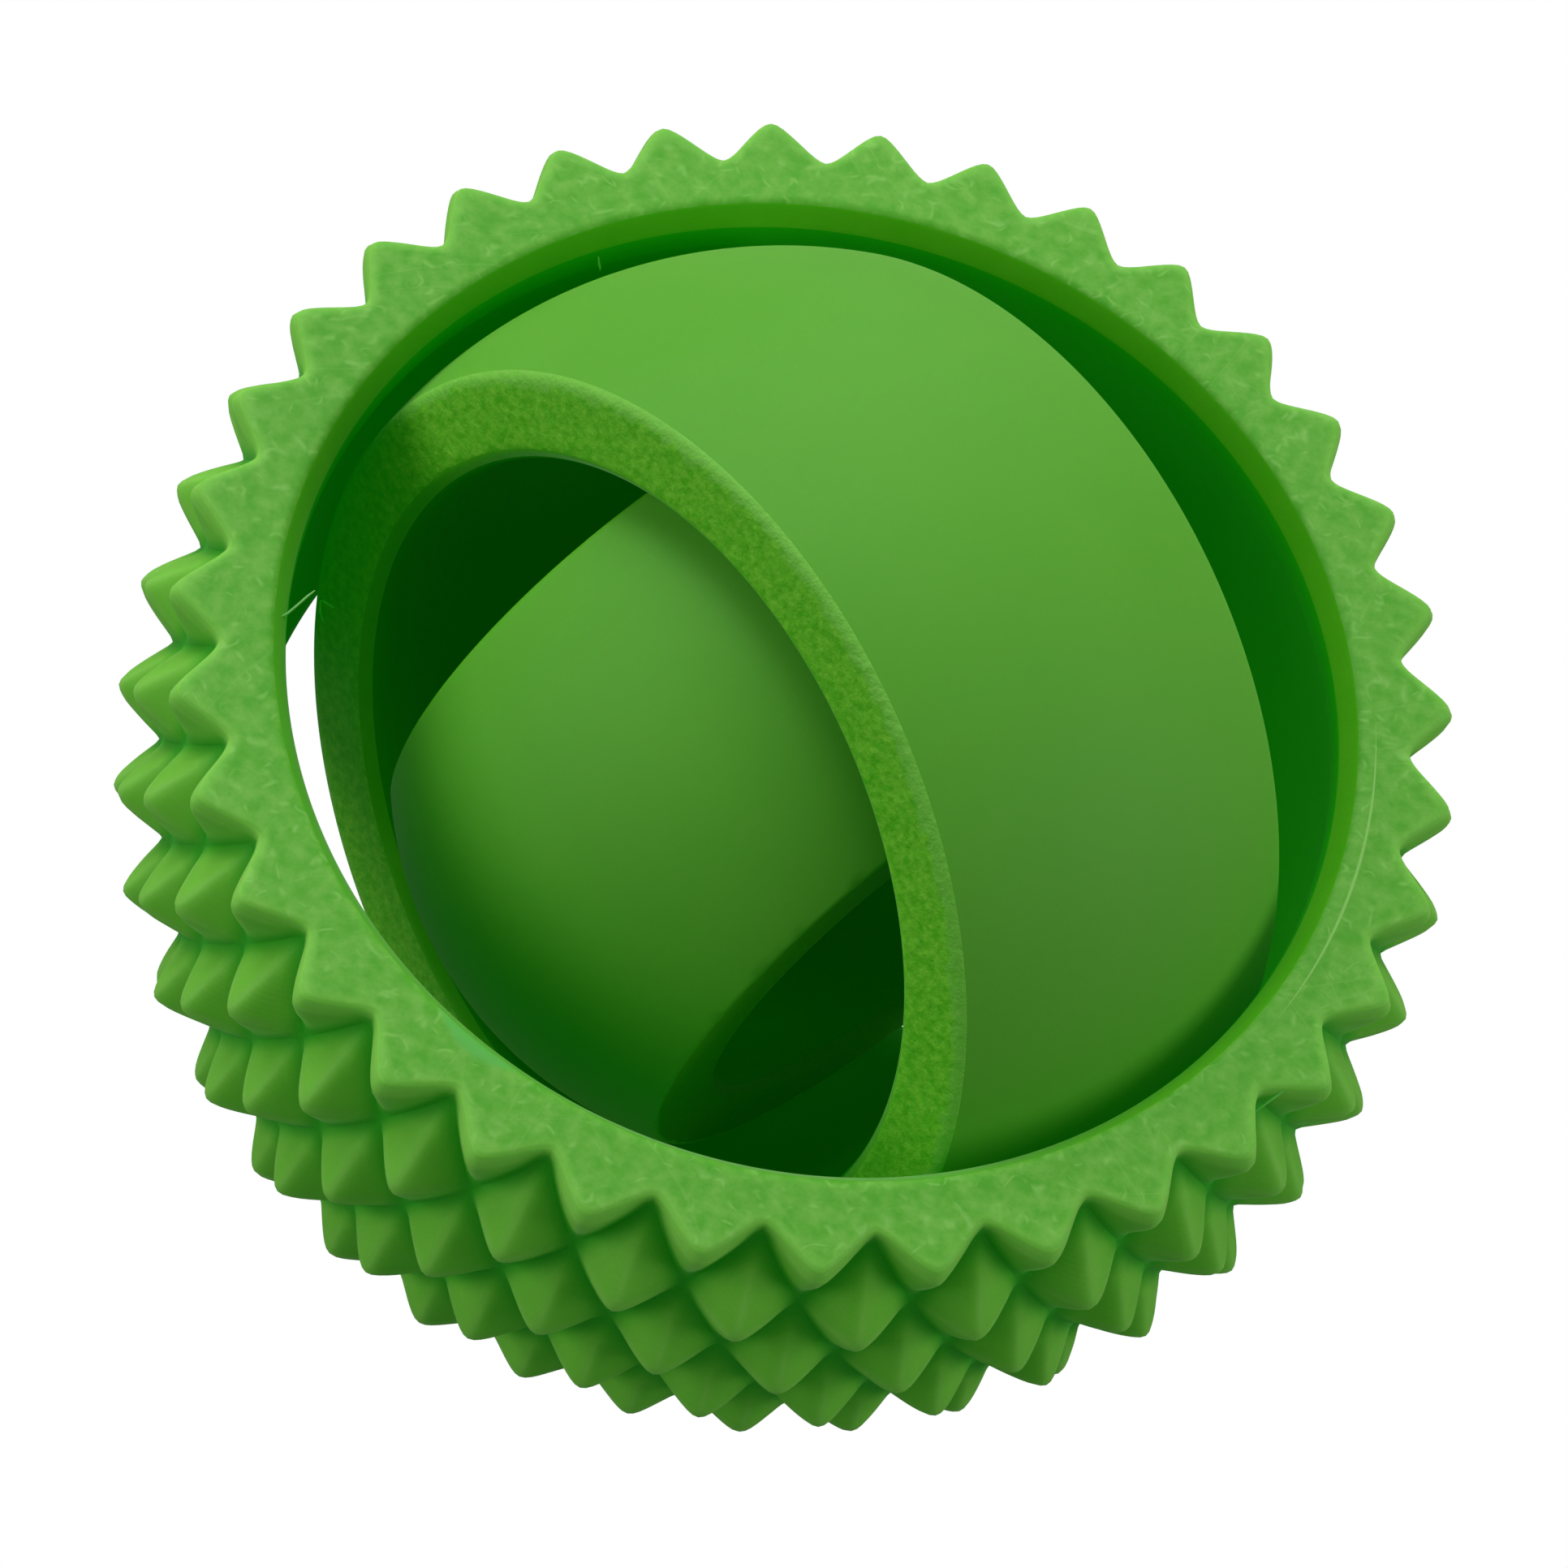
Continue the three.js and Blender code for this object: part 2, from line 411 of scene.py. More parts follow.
across = maths(mark, "ABSOLUTE", maths(mark, "SUBTRACT", away, mark_in.outputs["Radius"]))
across = maths(mark, "DIVIDE", across, mark_in.outputs["Width"])
along = maths(mark, "DIVIDE", spun["Y"], mark_in.outputs["Length"])
lens = maths(mark, "ADD", across, maths(mark, "MULTIPLY", along, along))
one_side = mapped(mark, spun["X"], 0, MM)
mark.links.new(maths(mark, "MULTIPLY", mapped(mark, lens, 1.0, 0.6), one_side), mark_out.inputs["Mask"])
print("group", mark.name)

# %% [markdown]
# ## Layer lines
# The nozzle builds the spikes in layers a fifth of a millimetre high, and each leaves a faint rib. They
# are far too fine to model, so they are a wave along the height, for a Bump node. A slow noise
# lets the ribs fade in and out, because real ones are never equally clear.

# %% Layer line group
layers, layers_in, layers_out = new_group(
    "layer lines",
    [("Place", VECTOR, (0, 0, 0)), ("Pitch", FLOAT, 0.0002)],
    [("Height", FLOAT)])
level = add(layers, "ShaderNodeSeparateXYZ", {0: layers_in.outputs["Place"]}).outputs["Z"]
drift = add(layers, "ShaderNodeTexNoise", {"Vector": layers_in.outputs["Place"], "Scale": 160.0})
count = add(layers, "ShaderNodeMath", {0: level, 1: layers_in.outputs["Pitch"]}, operation="DIVIDE")
turns = add(layers, "ShaderNodeMath", {0: count.outputs[0], 1: 2 * math.pi}, operation="MULTIPLY")
wave = add(layers, "ShaderNodeMath", {0: turns.outputs[0]}, operation="SINE")
clear = mapped(layers, drift.outputs["Fac"], 0.35, 0.65)
layers.links.new(maths(layers, "MULTIPLY", wave.outputs[0], clear), layers_out.inputs["Height"])
print("groups", [g.name for g in bpy.data.node_groups])

# %% [markdown]
# ## The green plastic
# The plastic is a deep, clear green with a satin skin. Light that bounces inside the rings turns a
# deeper green each time, which is why the hollows are dark and rich while the lit flats look milky.
# Glass-like transmission would be the literal way, but it is slow and grainy. Subsurface light looks
# the same, with a faint green emission added: a painted glow, not a lamp, for what seeps through from
# the far side, which also lifts the shade in the hollows. The bore walls are also given a darker green,
# which is painted shade. One function builds the material, and every region of a ring gets its own
# with its own grain, scuffs and paleness, part of it painted highlight and painted shade.

# %% Plastic material
# Painted light: the deep green is painted shade for valleys and bore walls, the ridge green a painted
# highlight, the teal a painted glint, and the scuff white also paints light through the threads.
PALE_GREEN = (0.150, 0.430, 0.042, 1)
SHADE_GREEN = (0.012, 0.300, 0.002, 1)
SCUFF_WHITE_AND_THREAD_SHINE = (0.270, 0.570, 0.130, 1)
RIDGE_HIGHLIGHT_GREEN = (0.240, 0.560, 0.085, 1)
GLINT_TEAL = (0.115, 0.450, 0.075, 1)


def constants(shader, specular, sheen, glow):
    """The values that are the same all over a region, set straight on the shader."""
    shader.inputs["IOR"].default_value = 1.46
    shader.inputs["Specular IOR Level"].default_value = specular
    shader.inputs["Subsurface Weight"].default_value = 0.5
    shader.inputs["Subsurface Radius"].default_value = (0.25, 1.0, 0.12)
    shader.inputs["Subsurface Scale"].default_value = 1.2 * MM
    shader.inputs["Sheen Weight"].default_value = sheen
    shader.inputs["Sheen Roughness"].default_value = 0.3
    # Painted glow, not a lamp: a faint green emission for light seeping through the plastic, which also
    # lifts the shade in the hollows.
    shader.inputs["Emission Color"].default_value = (0, 1, 0, 1)
    shader.inputs["Emission Strength"].default_value = glow


def group_node(tree, group, place, **values):
    """A shared effect placed in a material with its own values."""
    node = add(tree, "ShaderNodeGroup", node_tree=group)
    tree.links.new(place, node.inputs["Place"])
    for key, value in values.items():
        node.inputs[key].default_value = value
    return node.outputs[0]


def blend(tree, share, a, b):
    """Colour a where the share is 0 and colour b where it is 1."""
    return add(tree, "ShaderNodeMix", {0: share, 6: a, 7: b}, data_type="RGBA").outputs[2]


def read(tree, name):
    """A number that the mesh stores for each of its points."""
    return add(tree, "ShaderNodeAttribute", attribute_name=name).outputs["Fac"]


def plastic(name, glow, plain, cloudy=PALE_GREEN, cloud_scale=260, cloud=0.4, grain_scale=3500,
            grain_depth=0.012, coarse=0.4, scratches=0.0, strokes=0.0, ridges=False, rough=0.6,
            specular=0.4, sheen=0.08, ribs=0.0, edge_highlight=None, marks=()):
    """The green plastic with the finish of one region. Depths and marks are in millimetres."""
    material = bpy.data.materials.new(name)
    material.use_nodes = True
    tree = material.node_tree
    shader = tree.nodes["Principled BSDF"]
    constants(shader, specular, sheen, glow)
    place = add(tree, "ShaderNodeTexCoord").outputs["Object"]
    colour = group_node(tree, tone, place, Plain=plain, Cloudy=cloudy, Scale=cloud_scale, Amount=cloud)
    # Painted highlight on the ridges and painted shade in the valleys, from masks stored in the mesh.
    if ridges:
        colour = blend(tree, read(tree, "ridge"), colour, RIDGE_HIGHLIGHT_GREEN)
        colour = blend(tree, read(tree, "valley"), colour, SHADE_GREEN)
    # Painted highlight along a rounded edge, made uneven by noise.
    if edge_highlight:
        edge_noise = add(tree, "ShaderNodeTexNoise", {"Vector": place, "Scale": 1600.0}).outputs["Fac"]
        near = mapped(tree, maths(tree, "ADD", edge_noise, read(tree, "edge")), 0.85, 1.1)
        colour = blend(tree, near, colour, edge_highlight)
    shader.inputs["Roughness"].default_value = rough
    if scratches or strokes:
        mask = group_node(tree, scuff, place, Scratches=scratches, Strokes=strokes)
        colour = blend(tree, mask, colour, SCUFF_WHITE_AND_THREAD_SHINE)
        dull = add(tree, "ShaderNodeMapRange", {"Value": mask, "To Min": rough, "To Max": 0.8})
        tree.links.new(dull.outputs["Result"], shader.inputs["Roughness"])
    # Rim marks: the pale scratch is wear, and the teal lens is a painted glint on a pressed spot.
    for angle, radius, width, length, tint in marks:
        spot = group_node(tree, mark, place, Angle=math.radians(angle), Radius=radius * MM,
                          Width=width * MM, Length=length * MM)
        colour = blend(tree, spot, colour, tint)
    tree.links.new(colour, shader.inputs["Base Color"])
    skin = group_node(tree, grain, place, Scale=grain_scale, Coarse=coarse)
    bump = add(tree, "ShaderNodeBump", {"Height": skin, "Distance": grain_depth * MM})
    if ribs:
        lines = group_node(tree, layers, place)
        bump = add(tree, "ShaderNodeBump", {"Height": lines, "Distance": ribs * MM,
                   "Normal": bump.outputs["Normal"]})
    tree.links.new(bump.outputs["Normal"], shader.inputs["Normal"])
    print("material", name)
    return material


print("whitest scuff", SCUFF_WHITE_AND_THREAD_SHINE[:3])

# %% [markdown]
# ## Finishes of the outer ring
# The spikes are milky, with a painted highlight on their ridges and painted shade in their valleys,
# and the flats are rubbed and scuffed, with a painted highlight along their edge next to the spikes.
# The chamfer of each bore is a clean, deeper green with a pale sheen at a grazing angle, and the wall
# behind the lip is painted the darkest green, as painted shade where hardly any light gets there. One
# material with painted masks could hold all of it, but the regions meet at edges of the mesh, so a
# material for each is simpler and stays sharp.

# %% Outer ring finishes
SCRATCH = (0, 20.62, 0.07, 7.2, SCUFF_WHITE_AND_THREAD_SHINE)
# The teal lens on the pressed spot is a painted glint.
PRESSED_SPOT_GLINT = (109.5, 20.0, 0.75, 2.0, GLINT_TEAL)
spike_skin = plastic("spike skin", 0.05, (0.175, 0.510, 0.040, 1), (0.22, 0.55, 0.07, 1), ridges=True,
                     cloud_scale=500, grain_scale=2500, grain_depth=0.025, ribs=0.002, specular=0.3)
rubbed_flat = plastic("rubbed flat", 0.035, (0.088, 0.375, 0.016, 1), (0.180, 0.470, 0.060, 1),
                      ridges=True, cloud=1.0, cloud_scale=1500, grain_scale=1800, grain_depth=0.05,
                      scratches=0.2, strokes=0.6, rough=0.62, marks=[SCRATCH, PRESSED_SPOT_GLINT])
chamfer = plastic("chamfer", 0.04, (0.080, 0.400, 0.003, 1), (0.110, 0.420, 0.010, 1), cloud=0.5,
                  cloud_scale=700, grain_depth=0.02, specular=0.2, sheen=0.3)
# Painted shade: the wall behind the lip gets the deep green.
outer_wall = plastic("outer bore wall", 0.055, SHADE_GREEN, (0.02, 0.34, 0.004, 1), grain_depth=0.01,
                     specular=0.05, sheen=0.0)

# %% [markdown]
# ## Finishes of the bands
# The domes are the smoothest surface of the toy. Their ends are not: the end of the middle band lay on
# the print bed and is rough like sand, with a painted highlight along its rounded outer edge, made
# uneven by noise. The bore walls of both bands get a darker green, painted shade. Stray threads are
# painted paler than all of it and given a stronger painted glow, for the light that shines through
# them because they are thin.

# %% Band finishes
# Painted shade: the bore walls of the bands get the deep green.
middle_wall = plastic("middle bore wall", 0.024, SHADE_GREEN, (0.03, 0.32, 0.004, 1), grain_depth=0.01,
                      specular=0.08, sheen=0.0)
inner_wall = plastic("inner bore wall", 0.018, SHADE_GREEN, (0.02, 0.32, 0.004, 1), grain_depth=0.01,
                     specular=0.05, sheen=0.0)
smooth_band = plastic("smooth band", 0.03, (0.102, 0.375, 0.024, 1), cloud=0.2, cloud_scale=150,
                      grain_depth=0.006, specular=0.3, sheen=0.05)
# The pale line along the rounded outer edge is a painted highlight.
grainy_end = plastic("grainy end", 0.05, (0.090, 0.400, 0.003, 1), (0.215, 0.560, 0.032, 1), cloud=1.0,
                     cloud_scale=2800, grain_scale=2300, grain_depth=0.16, coarse=0.2,
                     edge_highlight=(0.180, 0.480, 0.055, 1))
inner_end = plastic("inner end", 0.012, (0.080, 0.370, 0.006, 1), (0.120, 0.420, 0.020, 1), cloud=0.6,
                    cloud_scale=2000, grain_scale=2300, grain_depth=0.05, specular=0.2, sheen=0.0)
# Painted light: the thread is paler than the plastic and glows more, for light shining through it.
stray = plastic("stray thread", 0.08, (0.20, 0.52, 0.16, 1), SCUFF_WHITE_AND_THREAD_SHINE, cloud=0.6)

# %% [markdown]
# ## The spiked outer ring
# The skin is a grid over the ring's height and round it. Spike tips sit at every second crossing, and
# the height falls off along both directions at once, which makes four flat facets meeting in straight
# valleys. Square roots in place of plain distances round the ridges and blunt the tips, and squares
# are split along the valleys so that these stay crisp. An array of separate pyramids would leave
# seams where they meet, and one grid has none.

# %% Spiked skin
STEPS = 10
columns = 2 * SPIKES * STEPS
EDGE = 0.3
LAST_ROW = 2 * ROW
BLUNT_ACROSS, BLUNT_ALONG = 0.17, 0.07
ROOT, ROOT_AT_FACE = 0.07, 0.25
RIDGE_WIDTH, VALLEY_WIDTH = 0.13, 0.2
heights = [k * ROW / STEPS for k in range(2 * STEPS + 1)]
heights += [LAST_ROW + 0.15, HALF - EDGE]
heights = np.array([-z for z in reversed(heights[1:])] + heights)


def tip_ball(z):
    """The ball that the tips at height z touch: blunt from the nozzle, and shortest in the lowest row."""
    return np.interp(z, [-LAST_ROW, -ROW, LAST_ROW], [TIP - 0.5, TIP - 0.17, TIP - 0.12])


def spiked_radius(z):
    """Skin radius round the ring at height z, and how near each point is to a ridge and a valley, as masks
    for a painted highlight and painted shade.
    """
    u = np.arange(columns) / STEPS
    v = z / ROW
    p, q = (u + v) / 2, (u - v) / 2
    dp, dq = p - np.round(p), q - np.round(q)
    across, along = np.abs(dp + dq), np.abs(dp - dq)
    fall = np.hypot(across, BLUNT_ACROSS) + np.hypot(along, BLUNT_ALONG)
    lift = 1 - fall
    root = np.interp(abs(z), [LAST_ROW - 0.2, HALF - EDGE], [ROOT, ROOT_AT_FACE])
    lift = (lift + np.hypot(lift, root)) / 2
    top = 1 - BLUNT_ACROSS - BLUNT_ALONG
    top = (top + math.hypot(top, ROOT)) / 2
    ball = VALLEY + (tip_ball(z) - VALLEY) * lift / top
    # Masks for a painted highlight on the ridges and painted shade in the valleys.
    ridge = np.clip(1 - np.minimum(across, along * 1.5) / RIDGE_WIDTH, 0, 1) * np.clip(lift * 2, 0, 1)
    valley = np.clip(1 - lift / VALLEY_WIDTH, 0, 1)
    # Near the face, the painted highlight grows and the painted shade fades.
    if z > LAST_ROW:
        ridge = np.maximum(ridge, min(1, (z - LAST_ROW) / EDGE))
        valley = valley * 0.3
    return np.sqrt(ball ** 2 - z ** 2), ridge, valley


skin = [spiked_radius(z) for z in heights]
waist = skin[len(skin) // 2][0]
print("skin rows", len(skin), "radius", round(float(waist.min()), 2), round(float(waist.max()), 2))

# %% [markdown]
# ## The rest of the outer ring
# Round the skin comes the flat face with a small rounding, then the bore, then the bottom face. Flats
# and bore could be a second mesh, but one closed mesh has no crack along the jagged edge of the spikes.
# The skin is made a little uneven, as a nozzle leaves it. The rows run from skin to face to bore and
# back to the skin, and each strip between two rows gets the slot of its finish. The face's finish runs
# a little way round the corner into the bore.

# %% Outer ring rows
def ripple(radius, z, size=0.02, scale=0.9):
    """A little unevenness, as a nozzle leaves it."""
    angle = np.arange(len(radius)) * 2 * np.pi / len(radius)
    wobble = [noise.noise(Vector((r * math.cos(a), r * math.sin(a), z)) * scale)
              for r, a in zip(radius, angle)]
    return radius + size * np.array(wobble)


top_edge, bottom_edge = skin[-1][0], skin[0][0]
bore = bore_outline(BORES["outer"])
rows = [ripple(r, z) for (r, _, _), z in zip(skin, heights)]
levels = list(heights)
ROUNDING = [(0.04, 0.17), (0.13, 0.06), (0.30, 0.0)]
FLAT_STEPS = 6
for inset, below in ROUNDING:
    rows.append(top_edge - inset)
    levels.append(HALF - below)
flat_edge = rows[-1]
for k in range(1, FLAT_STEPS):
    rows.append(flat_edge * (1 - k / FLAT_STEPS) + bore[0][0] * k / FLAT_STEPS)
    levels.append(HALF)
first_bore = len(rows)
for r, z in bore:
    rows.append(np.full(columns, r))
    levels.append(z)
flat_edge = bottom_edge - ROUNDING[-1][0]
for k in range(1, FLAT_STEPS + 1):
    rows.append(bore[-1][0] * (1 - k / FLAT_STEPS) + flat_edge * k / FLAT_STEPS)
    levels.append(-HALF)
for inset, above in ROUNDING[1::-1]:
    rows.append(bottom_edge - inset)
    levels.append(above - HALF)
radius = np.array(rows)
height = np.repeat(np.array(levels)[:, None], columns, axis=1)
skin_rows = len(skin)
print("outer ring rows", len(rows), "of them bore", len(bore))

# %% Outer ring mesh
SKIN, FLAT, OUTER_WALL, OUTER_CHAMFER, OUTER_THREAD = range(5)


def bore_slots(bore, face, chamfer, wall, runs):
    """A slot for each strip of a bore. runs counts its face, chamfer, far chamfer and far face strips."""
    near_face, near_chamfer, far_chamfer, far_face = runs
    near = [face] * near_face + [chamfer] * near_chamfer
    far = [chamfer] * far_chamfer + [face] * far_face
    return near + [wall] * (len(bore) - 1 - sum(runs)) + far


slots = [SKIN] * (skin_rows + 1) + [FLAT] * (first_bore - skin_rows - 1)
slots += bore_slots(bore, FLAT, OUTER_CHAMFER, OUTER_WALL, (3, 3, 4, 2))
slots += [FLAT] * (len(rows) - len(slots))


def along_valley(i, j):
    """Which way to split a square of the skin, so that the split runs along the nearest valley."""
    if j >= skin_rows - 1:
        return None
    middle_u = (i + 0.5) / STEPS
    middle_v = (heights[j] + heights[j + 1]) / 2 / ROW
    return (math.floor(middle_u) + math.floor(middle_v)) % 2 == 1


outer_ring = ring_object("spiked_ring", radius, height, slots,
                         [spike_skin, rubbed_flat, outer_wall, chamfer, stray], along_valley)
# Painted highlight: the edge glint lightens the rounding next to the spikes; the ridge and valley masks
# carry the painted highlight and painted shade.
blank = np.zeros((len(rows) - skin_rows, columns))
edge_glint = blank.copy()
edge_glint[:len(ROUNDING)] = [[0.8], [0.6], [0.4]]
point_values(outer_ring, "ridge", np.vstack([np.array([ridge for _, ridge, _ in skin]), edge_glint]))
point_values(outer_ring, "valley", np.vstack([np.array([valley for *_, valley in skin]), blank]))
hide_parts("outer_ring")
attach(outer_ring, "outer")

# %% [markdown]
# ## The smooth bands
# A band is a slice of a ball with a bore. One end of the middle band was printed against the bed and
# came out grainy with a soft edge, and the other end is crisp. The far edge of the inner band is
# nicked where the print sagged. A ball cut by two planes would give the same shape, but its rows
# would not follow the edges, and the finishes need that. Both bands are built standing on their own
# axis. Their points are then turned into place, and not the object, so that its box stays true.

# %% Smooth band
DOME, END, BAND_WALL, FAR_CORNER, BAND_CHAMFER, BAND_THREAD = range(6)
BAND_COLUMNS = 360
DOME_STEPS, CORNER_STEPS, END_STEPS = 40, 5, 6
NOTCHES_ROUND = 22


def band(name, ball, size, pose, near_edge, far_edge, ragged, materials):
    """near_edge and far_edge are how far each corner is rounded, on the dome and on the end face."""
    reach = math.sqrt(ball ** 2 - HALF ** 2)
    dome = ball_arc(ball, -HALF, HALF, DOME_STEPS)
    inner_bottom, inner_top = (reach - 1, -HALF), (reach - 1, HALF)
    outline = soft_corner(inner_bottom, dome[0], dome[1], far_edge[1], CORNER_STEPS, far_edge[0])
    corner_rows = len(outline) - 1
    clear = 1.1 * max(near_edge[0], far_edge[0])
    outline += [p for p in dome[1:-1] if abs(p[1]) < HALF - clear]
    outline += soft_corner(dome[-2], dome[-1], inner_top, near_edge[0], CORNER_STEPS, near_edge[1])
    dome_rows = len(outline) - 1
    bore = bore_outline(size)
    start, end = outline[-1][0], outline[0][0]
    shares = [k / END_STEPS for k in range(1, END_STEPS)]
    flat = [(start + (bore[0][0] - start) * share, HALF) for share in shares]
    under = [(bore[-1][0] + (end - bore[-1][0]) * share, -HALF) for share in shares]
    outline += flat + bore + under
    slots = [FAR_CORNER] * corner_rows + [DOME] * (dome_rows - corner_rows - CORNER_STEPS)
    slots += [END] * (CORNER_STEPS + 1 + len(flat))
    slots += bore_slots(bore, END, BAND_CHAMFER, BAND_WALL, (2, 3, 3, 2))
    slots += [END] * (len(outline) - len(slots))
    radius = np.repeat(np.array([p[0] for p in outline])[:, None], BAND_COLUMNS, axis=1)
    height = np.repeat(np.array([p[1] for p in outline])[:, None], BAND_COLUMNS, axis=1)
    turn = np.arange(BAND_COLUMNS) * 2 * np.pi / BAND_COLUMNS
    notch = np.array([noise.noise(Vector((math.cos(a), math.sin(a), 0)) * NOTCHES_ROUND) for a in turn])
    for j in range(corner_rows):
        radius[j] -= ragged * np.clip(np.round(notch * 5) / 5, 0, 1)
    obj = ring_object(name, radius, height, slots, materials)
    # How near each point is to the rounded near corner, which the grainy end reads for its painted
    # highlight.
    near = np.zeros(len(outline))
    near[dome_rows - CORNER_STEPS:dome_rows + 1] = (1, 0.9, 0.8, 0.65, 0.5, 0.35)
    point_values(obj, "edge", np.repeat(near, BAND_COLUMNS))
    obj.data.transform(pose)
    return obj


# %% [markdown]
# ## The middle ring
# This is the larger band. Its near end is the rough one, and the corner there is worn wide, so it takes
# the grainy finish. It replaces the frame's middle ring and rides on the same body, so the joint moves it.

# %% Middle ring
middle_ring = band("middle_band", MIDDLE, BORES["middle"], middle_pose, (0.3, 0.45), (0.2, 0.2), 0.0,
                   [smooth_band, grainy_end, middle_wall, smooth_band, chamfer, stray])
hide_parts("middle_ring")
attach(middle_ring, "middle")

# %% [markdown]
# ## The inner ring
# The smaller band is crisper: its corners are hardly rounded and its end is only a little rough. The
# same function makes it, with smaller corners and with nicks in its far edge.

# %% Inner ring
inner_ring = band("inner_band", INNER, BORES["inner"], inner_pose, (0.15, 0.15), (0.12, 0.12), 0.25,
                  [smooth_band, inner_end, inner_wall, smooth_band, inner_end])
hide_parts("inner_ring")
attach(inner_ring, "inner")

# %% [markdown]
# ## Stray threads
# Molten plastic leaves hair-thin threads where the nozzle jumped across a gap. Five are left: two at
# the lip of the outer bore, one in a root of the spikes, and two small curls on the edge of the middle
# ring. They could be curves with a round bevel, but each is made as a thin six-sided tube in its
# ring's own mesh, so that it moves with that ring and adds no piece.

# %% Thread helper
SIDES = 6


def thread(ring, points, size, slot):
    """A tapering tube through points given in frame millimetres, added to the ring's own mesh."""
    path = [Vector(p) * MM for p in points]
    shape = bmesh.new()
    shape.from_mesh(ring.data)
    loops = []
    for k, place in enumerate(path):
        ahead = (path[min(k + 1, len(path) - 1)] - path[max(k - 1, 0)]).normalized()
        side = ahead.orthogonal().normalized()
        other = ahead.cross(side)
        thick = size * MM * (0.5 if k in (0, len(path) - 1) else 1.0)
        loops.append([shape.verts.new(place + thick * (math.cos(a) * side + math.sin(a) * other))
                      for a in (2 * math.pi * m / SIDES for m in range(SIDES))])
    for low, high in zip(loops, loops[1:]):
        for m in range(SIDES):
            face = shape.faces.new((low[m], low[m - 1], high[m - 1], high[m]))
            face.material_index, face.smooth = slot, True
    shape.faces.new(loops[0]).material_index = slot
    shape.faces.new(reversed(loops[-1])).material_index = slot
    shape.to_mesh(ring.data)
    shape.free()
    print("thread on", ring.name, "through", len(path), "points")


# %% Threads
GAP_THREAD, ROOT_THREAD, LIP_THREAD = (
    [(-18.95, -5.75, 7.45), (-18.72, -5.30, 7.30), (-18.50, -4.90, 7.42), (-18.30, -4.55, 7.60),
     (-18.12, -4.30, 7.76)],
    [(19.98, -9.70, 6.85), (20.15, -9.50, 7.12), (20.32, -9.32, 7.40), (20.50, -9.14, 7.66),
     (20.62, -9.02, 7.85)],
    [(-13.40, 14.00, 6.75), (-13.30, 13.95, 6.40), (-13.22, 14.05, 6.00), (-13.20, 14.20, 5.60)])
CURL_ROOT = (-18.68, 2.18, -4.30)
UPPER_CURL = [CURL_ROOT, (-18.50, 2.06, -4.10), (-18.36, 1.98, -3.98), (-18.20, 1.90, -3.92),
              (-18.06, 1.80, -3.80)]
LOWER_CURL = [CURL_ROOT, (-18.60, 2.02, -4.50), (-18.52, 1.90, -4.74), (-18.38, 1.78, -4.86),
              (-18.24, 1.62, -4.92)]
for points in (GAP_THREAD, ROOT_THREAD, LIP_THREAD):
    thread(outer_ring, points, 0.045, OUTER_THREAD)
thread(middle_ring, UPPER_CURL, 0.035, BAND_THREAD)
thread(middle_ring, LOWER_CURL, 0.04, BAND_THREAD)
print("ring meshes with threads", len(outer_ring.data.vertices), len(middle_ring.data.vertices))

# %% [markdown]
# ## Floor and light
# The toy is shown on a plain white floor, inside a ring of large soft lamps. They stand above it,
# behind it and to both sides, so the flats and the top of the bands are bright and the hollows stay
# deep. A really white floor would light the spikes from below. So this one looks white to the camera,
# but throws back only a little light, which keeps their undersides dark.

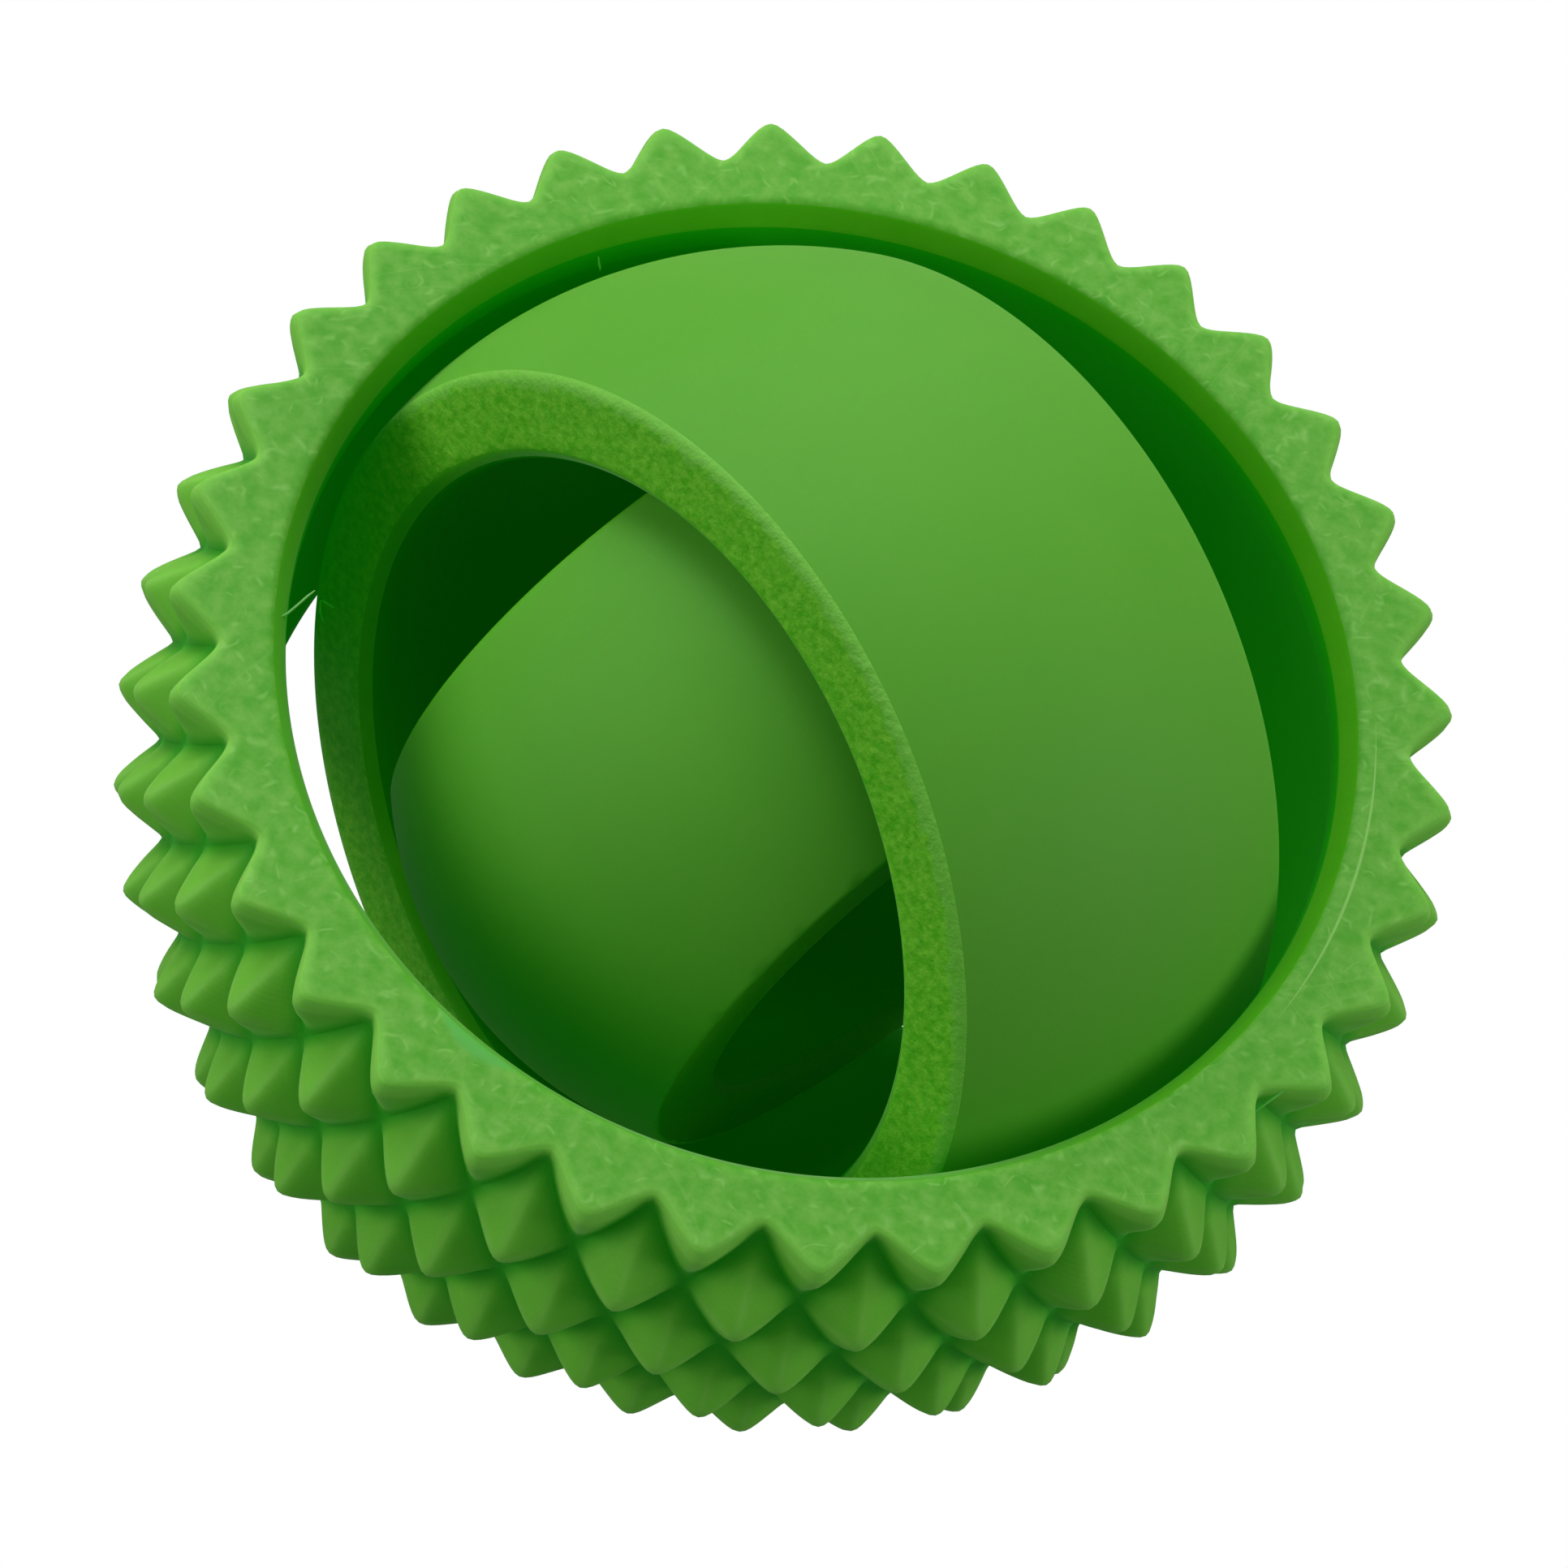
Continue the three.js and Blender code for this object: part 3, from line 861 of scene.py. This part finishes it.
# %% Floor
FLOOR_REACH, FLOOR_GAP = 3, 0.05 * MM
CORNERS = ((-1, -1), (1, -1), (1, 1), (-1, 1))
floor_mesh = bpy.data.meshes.new("floor")
floor_z = cad_low.z - FLOOR_GAP
floor_mesh.from_pydata([(FLOOR_REACH * x, FLOOR_REACH * y, floor_z) for x, y in CORNERS], [],
                       [(0, 1, 2, 3)])
floor = bpy.data.objects.new("floor", floor_mesh)
bpy.context.scene.collection.objects.link(floor)
pale = bpy.data.materials.new("pale floor")
pale.use_nodes = True
tree = pale.node_tree
dim = tree.nodes["Principled BSDF"]
dim.inputs["Base Color"].default_value = (0.2, 0.2, 0.2, 1)
dim.inputs["Roughness"].default_value = 1.0
dim.inputs["Specular IOR Level"].default_value = 0.0
glow = add(tree, "ShaderNodeEmission", {"Color": (1, 1, 1, 1), "Strength": 1.0})
seen = add(tree, "ShaderNodeLightPath").outputs["Is Camera Ray"]
mixed = add(tree, "ShaderNodeMixShader", {0: seen, 1: dim.outputs[0], 2: glow.outputs[0]})
tree.links.new(mixed.outputs[0], tree.nodes["Material Output"].inputs["Surface"])
floor_mesh.materials.append(pale)
print("floor at", round(floor_z / MM, 2), "mm")

# %% Light
def lamp(name, place, size, power):
    """A round soft lamp that shines at the common centre."""
    data = bpy.data.lights.new(name, "AREA")
    data.shape, data.size, data.energy = "DISK", size, power
    obj = bpy.data.objects.new(name, data)
    obj.location = place
    obj.rotation_mode = "QUATERNION"
    obj.rotation_quaternion = Vector(place).to_track_quat("Z", "Y")
    bpy.context.scene.collection.objects.link(obj)
    print(name, power, "W")


lamp("overhead", (-0.10, 0.20, 0.42), 0.45, 0.97)
lamp("left", (-0.45, -0.20, 0.22), 0.40, 0.90)
lamp("left behind", (-0.40, 0.25, 0.30), 0.40, 0.90)
lamp("right", (0.48, 0.05, 0.25), 0.40, 0.96)
lamp("behind", (0.0, 0.48, 0.20), 0.40, 0.58)

# %% [markdown]
# ## Backdrop
# What is beyond the floor has to look white too, but as much light from all round would flatten every
# hollow. The world's strength therefore differs for the camera and for the light that bounces.

# %% World
ROOM_LIGHT, BACKDROP = 0.10, 1.0
world = bpy.data.worlds.new("studio")
world.use_nodes = True
sky = world.node_tree.nodes["Background"]
sky.inputs["Color"].default_value = (1, 1, 1, 1)
sky_seen = add(world.node_tree, "ShaderNodeLightPath").outputs["Is Camera Ray"]
sky_power = add(world.node_tree, "ShaderNodeMapRange", {"Value": sky_seen, "To Min": ROOM_LIGHT,
                "To Max": BACKDROP})
world.node_tree.links.new(sky_power.outputs["Result"], sky.inputs["Strength"])
bpy.context.scene.world = world
bpy.context.scene.view_settings.view_transform = "Standard"
print("room light", ROOM_LIGHT, "backdrop", BACKDROP)
